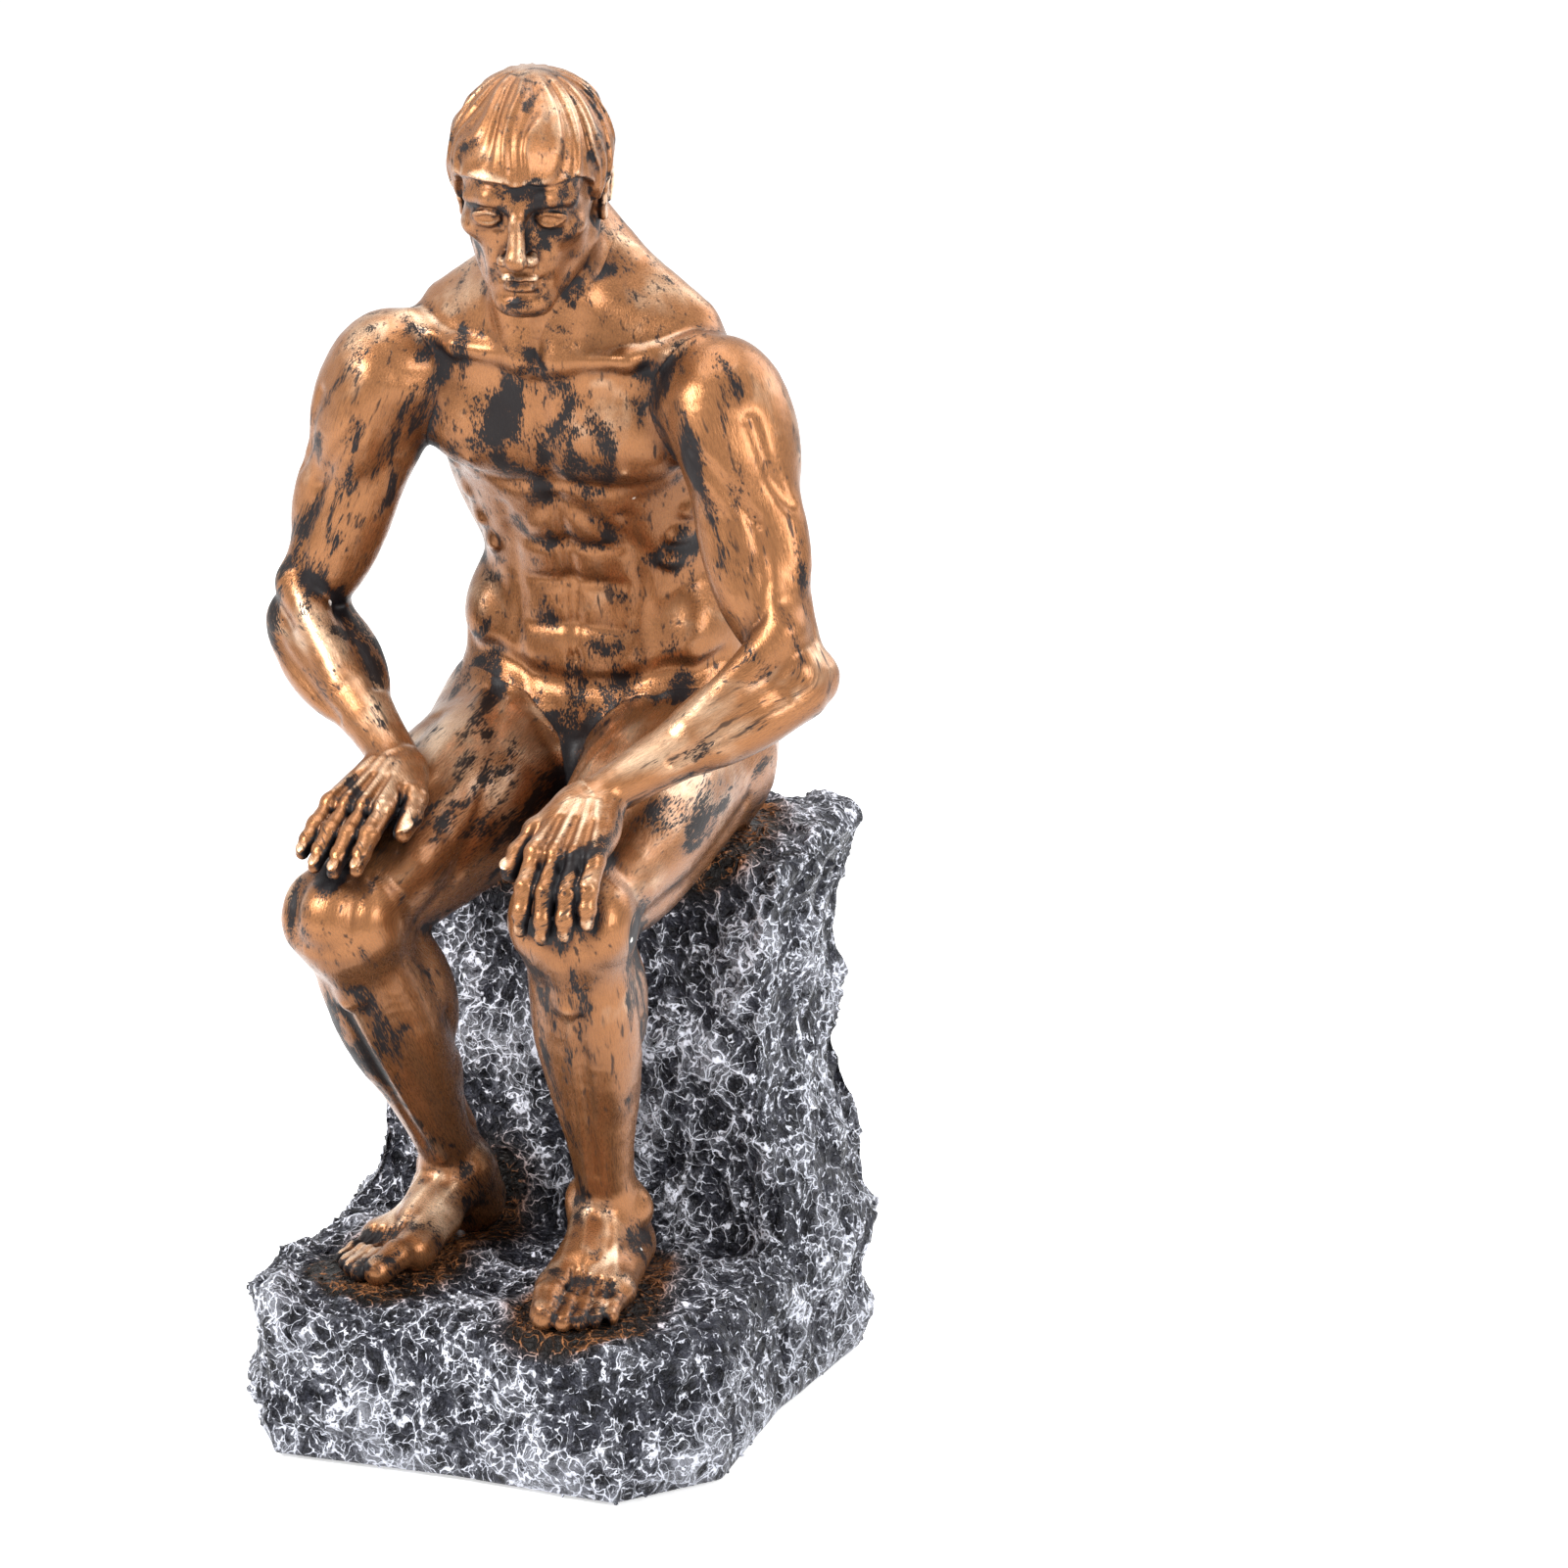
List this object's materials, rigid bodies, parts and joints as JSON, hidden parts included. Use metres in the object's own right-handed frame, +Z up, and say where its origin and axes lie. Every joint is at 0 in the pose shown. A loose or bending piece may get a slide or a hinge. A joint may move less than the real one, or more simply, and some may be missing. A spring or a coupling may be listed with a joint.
{
  "type": "seated figure statue",
  "caption": "Bronze-finished resin statue of a seated figure resting its hands on its knees, on a rough charcoal rock with a felt underside, for a shelf or desk.",
  "frame": {"origin": "on the table, under the middle of the rock, in the plane of the felt's underside", "axes": "+Z up, the figure looks along -Y, its left side is on +X"},
  "size_m": [0.1186, 0.12, 0.2598],
  "materials": {
    "rock": "cast polyresin painted charcoal, ridges dry-brushed silver",
    "bronze": "cast polyresin with a satin copper-bronze paint and a black patina",
    "board": "hardboard",
    "felt": "black self-adhesive felt",
    "ballast": "cast filled resin",
    "steel": "zinc plated"
  },
  "bodies": {
    "root": {"rock_base": "rock", "base_plate": "board", "base_plate_screws": "steel", "felt_sheet": "felt", "ballast_block": "ballast", "seat_stud": "steel", "seat_washer": "steel", "seat_nut": "steel", "figure_head": "bronze", "figure_torso": "bronze", "left_arm": "bronze", "right_arm": "bronze", "left_leg": "bronze", "right_leg": "bronze", "neck_dowel": "steel", "shoulder_dowels": "steel", "hip_dowels": "steel", "foot_dowels": "steel"}
  },
  "joints": []
}
